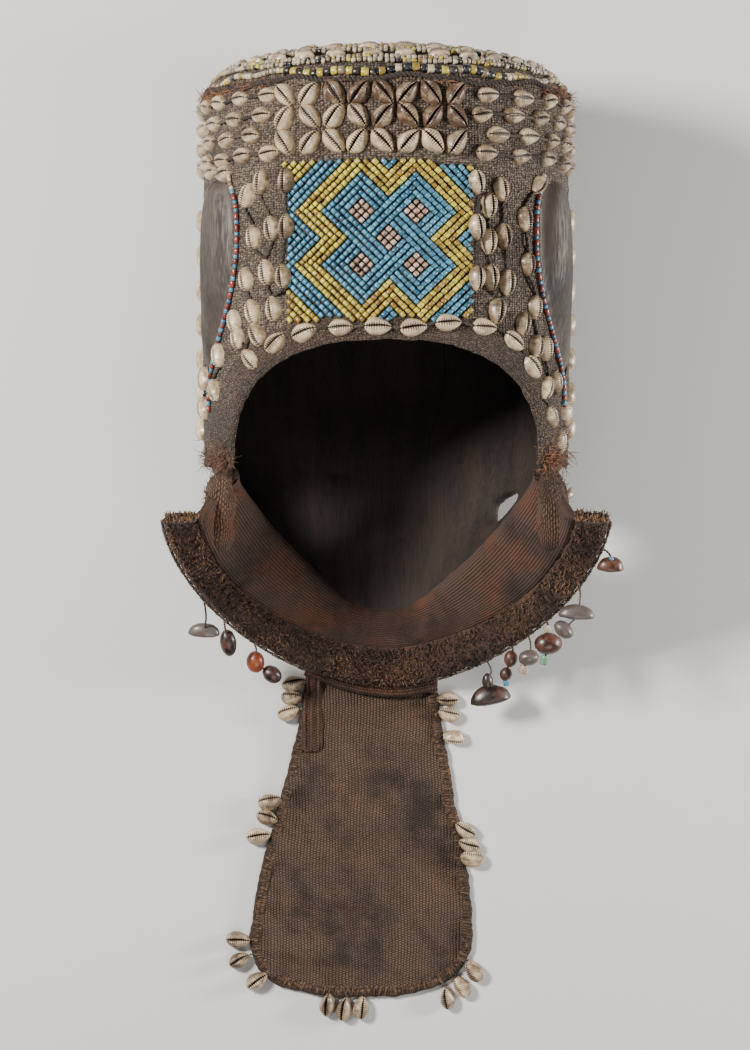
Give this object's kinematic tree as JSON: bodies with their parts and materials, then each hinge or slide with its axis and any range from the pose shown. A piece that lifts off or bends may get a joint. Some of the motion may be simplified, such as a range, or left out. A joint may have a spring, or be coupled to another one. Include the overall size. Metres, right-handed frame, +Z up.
{
  "type": "kuba bwoom helmet mask",
  "caption": "Carved wooden helmet mask lying face down, dressed in raffia cloth, cowries and beads, with a woven collar and a hanging beard panel.",
  "frame": {"origin": "on the floor under the middle of the mask as it lies face down", "axes": "+Y from the beard to the crown, +Z up from the face to the back of the head, +X to the right when looking down on it with the crown away"},
  "size_m": [0.3246, 0.7209, 0.2693],
  "materials": {
    "dark_wood": "carved wood, dark with age, worn smooth at the ears",
    "raffia_cloth": "knotted raffia cloth, grey brown",
    "crown_beads": "pale glass beads and cowries over raffia",
    "rope_beads": "yellow, black and pale glass beads",
    "panel_beads": "blue and yellow glass beads",
    "ear_beads": "red and blue glass beads",
    "face_beads": "blue glass beads",
    "neck_raffia": "fine red brown raffia cloth",
    "collar_pile": "cut-pile raffia, dark brown",
    "beard_raffia": "coarse plain-weave raffia, brown",
    "cowrie_shell": "cowrie shell, cream with brown stains",
    "seed_shell": "seeds and nut shells, dark brown"
  },
  "bodies": {
    "root": {"wooden_helmet": "dark_wood", "raffia_cap": "raffia_cloth", "crown_cover": "crown_beads", "crown_bead_rope": "rope_beads", "bead_panel": "panel_beads", "left_ear_bead_string": "ear_beads", "right_ear_bead_string": "ear_beads", "brow_bead_band": "face_beads", "neck_cloth": "neck_raffia", "beard_collar": "collar_pile", "beard_panel": "beard_raffia", "upper_left_edge_cowries": "cowrie_shell", "upper_right_edge_cowries": "cowrie_shell", "middle_left_edge_cowries": "cowrie_shell", "middle_right_edge_cowries": "cowrie_shell", "lower_left_edge_cowries": "cowrie_shell", "foot_edge_cowries": "cowrie_shell", "lower_right_edge_cowries": "cowrie_shell", "left_grey_pendant": "seed_shell", "left_brown_pendant": "seed_shell", "left_amber_pendant": "seed_shell", "right_high_pendant": "seed_shell", "right_grey_pendant": "seed_shell", "right_brown_pendant": "seed_shell", "right_round_pendant": "seed_shell", "right_dark_pendant": "seed_shell", "right_large_pendant": "seed_shell"}
  },
  "joints": []
}
